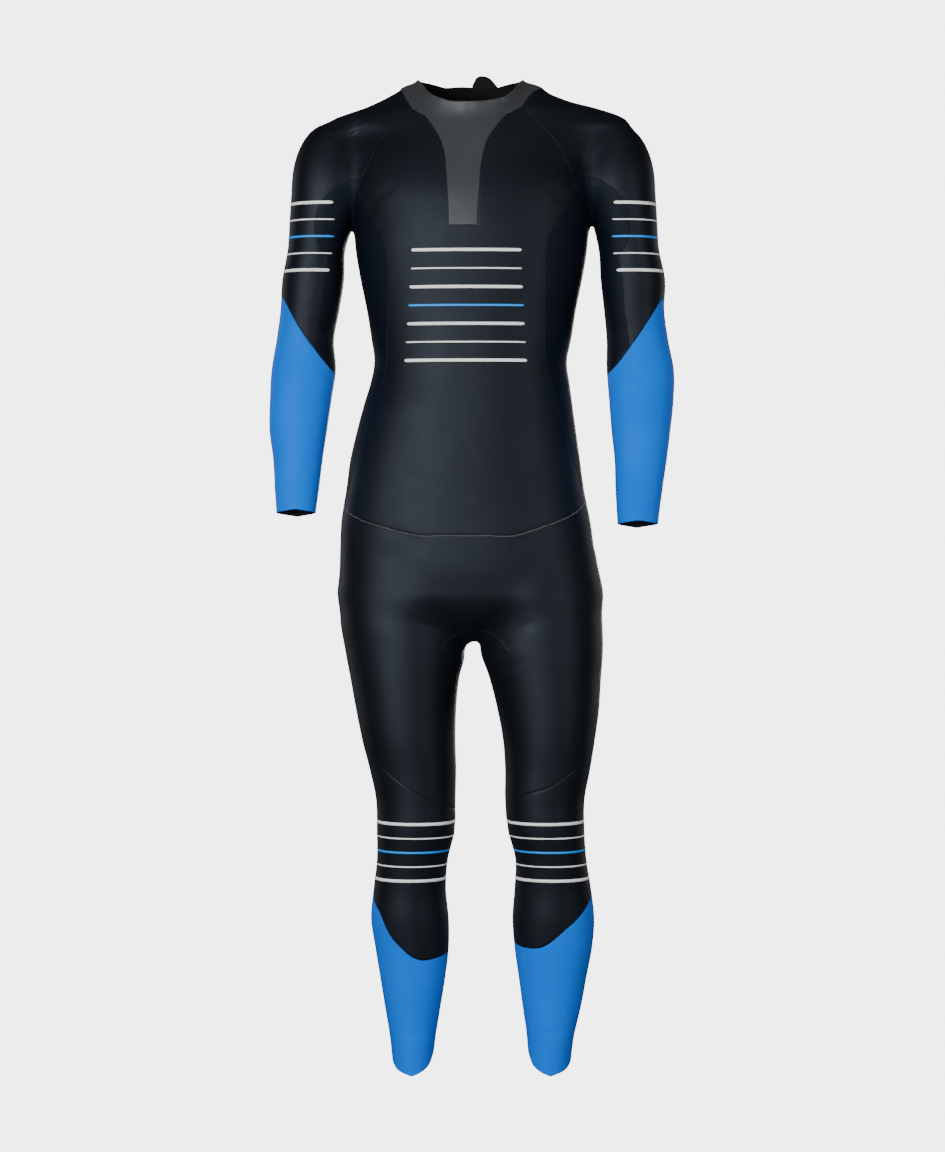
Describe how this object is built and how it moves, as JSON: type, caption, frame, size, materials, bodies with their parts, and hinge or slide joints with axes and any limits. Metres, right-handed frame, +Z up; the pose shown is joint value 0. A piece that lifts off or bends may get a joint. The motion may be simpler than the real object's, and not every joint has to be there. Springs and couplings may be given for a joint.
{
  "type": "wetsuit",
  "caption": "Full-length swimming wetsuit in worn form with no wearer: black panels, blue forearms and calves, grey collar and chest strip, back zip.",
  "frame": {"origin": "between the wearer's shoulders, level with the front of the neck opening's seam", "axes": "+Z up, +X to the right of somebody who faces the chest, -Y the way the chest faces"},
  "size_m": [0.5884, 0.2352, 1.4609],
  "materials": {
    "neoprene": "satin smooth skin",
    "neoprene_navy": "satin smooth skin",
    "neoprene_blue": "soft satin",
    "neoprene_grey": "fine jersey, matte",
    "lining": "matte jersey",
    "print_white": "matte print",
    "print_blue": "matte print",
    "thread": "matte thread",
    "zip_tape": "woven tape",
    "zip_metal": "dark satin metal",
    "pull_plastic": "moulded, matte"
  },
  "bodies": {
    "suit": {"chest": "neoprene", "front_strip": "neoprene_grey", "collar_front": "neoprene_grey", "collar_back_left": "neoprene", "collar_back_right": "neoprene", "neck_flap": "neoprene", "side_left": "neoprene_navy", "side_right": "neoprene_navy", "back_left": "neoprene", "back_right": "neoprene", "legs_front": "neoprene", "seat_left": "neoprene", "seat_right": "neoprene", "gusset": "neoprene", "shoulder_left": "neoprene", "shoulder_right": "neoprene", "underarm_left": "neoprene_navy", "underarm_right": "neoprene_navy", "forearm_left": "neoprene_blue", "forearm_right": "neoprene_blue", "knee_left": "neoprene", "knee_right": "neoprene", "calf_left": "neoprene_blue", "calf_right": "neoprene_blue", "zip_tape": "zip_tape", "zip_chain": "zip_tape", "zip_slider": "zip_metal"},
    "pull_tab": {"zip_pull": "pull_plastic"}
  },
  "joints": [
    {"name": "pull_tab_swing", "type": "hinge", "parent": "suit", "child": "pull_tab", "pos_m": [0.003, 0.08011, -0.00196], "axis": [1, 0, 0], "range_deg": [0, 150]}
  ]
}
